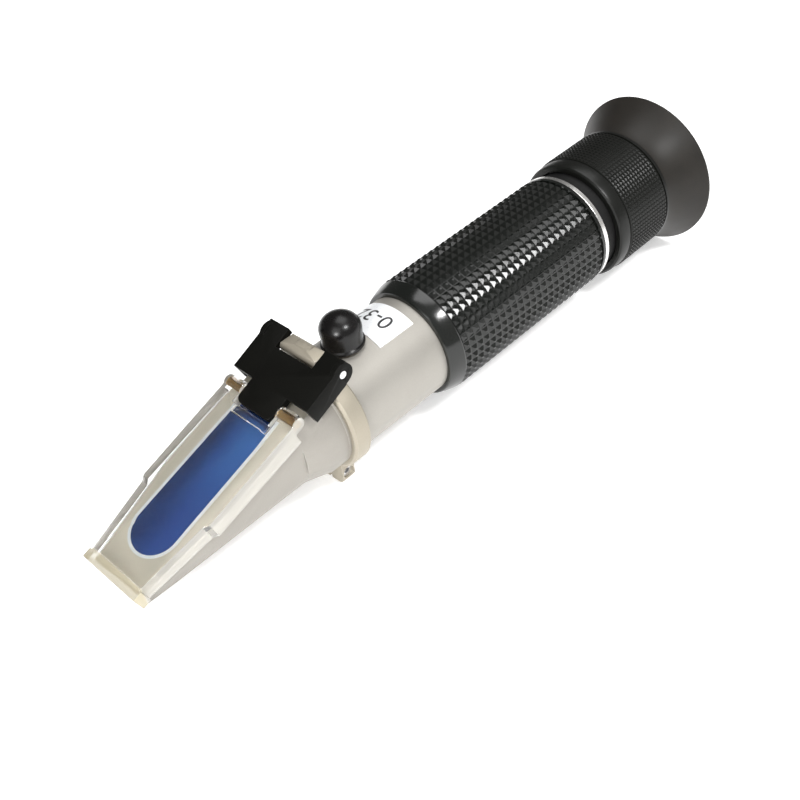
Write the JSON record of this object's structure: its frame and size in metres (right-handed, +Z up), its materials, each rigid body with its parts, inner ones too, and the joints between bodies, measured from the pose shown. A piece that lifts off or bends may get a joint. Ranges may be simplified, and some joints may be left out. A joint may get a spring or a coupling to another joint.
{
  "type": "refractometer",
  "caption": "Handheld refractometer: slanted prism nose under a hinged clear plate, rubber-gripped metal tube and a focusing eyepiece with a flared rubber eyecup.",
  "frame": {"origin": "on the ground under the middle of the whole length, below the optical axis", "axes": "+X along the optical axis from the nose tip to the eyecup, +Z up on the flap's side, the instrument lying on its eyecup rim and collar ears"},
  "size_m": [0.1617, 0.0372, 0.0374],
  "materials": {
    "cast_alloy": "sand-blasted die casting, clear lacquer",
    "tube_alloy": "fine satin turned aluminium",
    "collar_alloy": "satin nickel-plated die casting",
    "bright_trim": "bright turned ring",
    "steel": "bright screws and pins",
    "brass": "turned brass",
    "blue_glass": "polished blue prism",
    "sealant": "white silicone bead",
    "clear_acrylic": "clear moulded acrylic",
    "hinge_black": "matte black",
    "cap_rubber": "soft black rubber",
    "grip_rubber": "glossy black moulded rubber with pyramid texture",
    "ring_black": "black knurled ring",
    "cup_rubber": "soft black rubber",
    "inner_black": "matte black anodised",
    "lens_glass": "coated optical glass",
    "label_white": "white printed foil",
    "bimetal": "rolled two-metal strip"
  },
  "bodies": {
    "housing": {"nose_housing": "cast_alloy", "prism": "blue_glass", "prism_sealant": "sealant", "hinge_collar": "collar_alloy", "collar_screw": "steel", "hinge_pin": "steel", "nose_grub_screws": "steel", "barrel_tube": "tube_alloy", "grip_sleeve": "grip_rubber", "trim_ring": "bright_trim", "label": "label_white", "calibration_bush": "brass", "bimetal_strip": "bimetal", "strip_screws": "steel", "field_baffle": "inner_black", "reticle_cell": "inner_black", "reticle": "lens_glass", "helicoid_sleeve": "inner_black"},
    "flap": {"hinge_plate": "hinge_black"},
    "clear_plate": {"daylight_plate": "clear_acrylic", "plate_pin": "brass"},
    "cap": {"calibration_cap": "cap_rubber"},
    "lens_carrier": {"lens_cell": "inner_black", "objective_lens": "lens_glass", "lens_ring": "inner_black"},
    "adjuster": {"calibration_screw": "brass"},
    "focus_slider": {"focus_o_ring": "cap_rubber"},
    "eyepiece": {"eyepiece_tube": "inner_black", "focus_ring": "ring_black", "eyecup": "cup_rubber", "eye_lens": "lens_glass", "lens_spacer": "inner_black", "field_lens": "lens_glass", "eye_retainer": "inner_black"}
  },
  "joints": [
    {"name": "flap_hinge", "type": "hinge", "parent": "housing", "child": "flap", "pos_m": [-0.02845, 0, 0.034], "axis": [0, 1, 0], "range_deg": [0, 115]},
    {"name": "plate_float", "type": "hinge", "parent": "flap", "child": "clear_plate", "pos_m": [-0.04023, 0, 0.0297], "axis": [0, 1, 0], "range_deg": [0, 8]},
    {"name": "cap_pull", "type": "slide", "parent": "housing", "child": "cap", "axis": [0, 0, 1], "range_m": [0, 0.012]},
    {"name": "calibration_travel", "type": "slide", "parent": "housing", "child": "lens_carrier", "axis": [0, 0, 1], "range_m": [-0.000375, 0.000375]},
    {"name": "calibration_turn", "type": "hinge", "parent": "lens_carrier", "child": "adjuster", "pos_m": [-0.01915, 0, 0.0306], "axis": [0, 0, 1], "range_deg": [-270.1, 270.1]},
    {"name": "focus_travel", "type": "slide", "parent": "housing", "child": "focus_slider", "axis": [1, 0, 0], "range_m": [-0.0025, 0.0025]},
    {"name": "focus_turn", "type": "hinge", "parent": "focus_slider", "child": "eyepiece", "pos_m": [0.06245, 0, 0.0186], "axis": [1, 0, 0], "range_deg": [-180, 180]}
  ],
  "couplings": [
    {"joint": "calibration_turn", "follows": "calibration_travel", "rad_per_m": 12566},
    {"joint": "focus_travel", "follows": "focus_turn", "m_per_rad": 0.00079577}
  ]
}
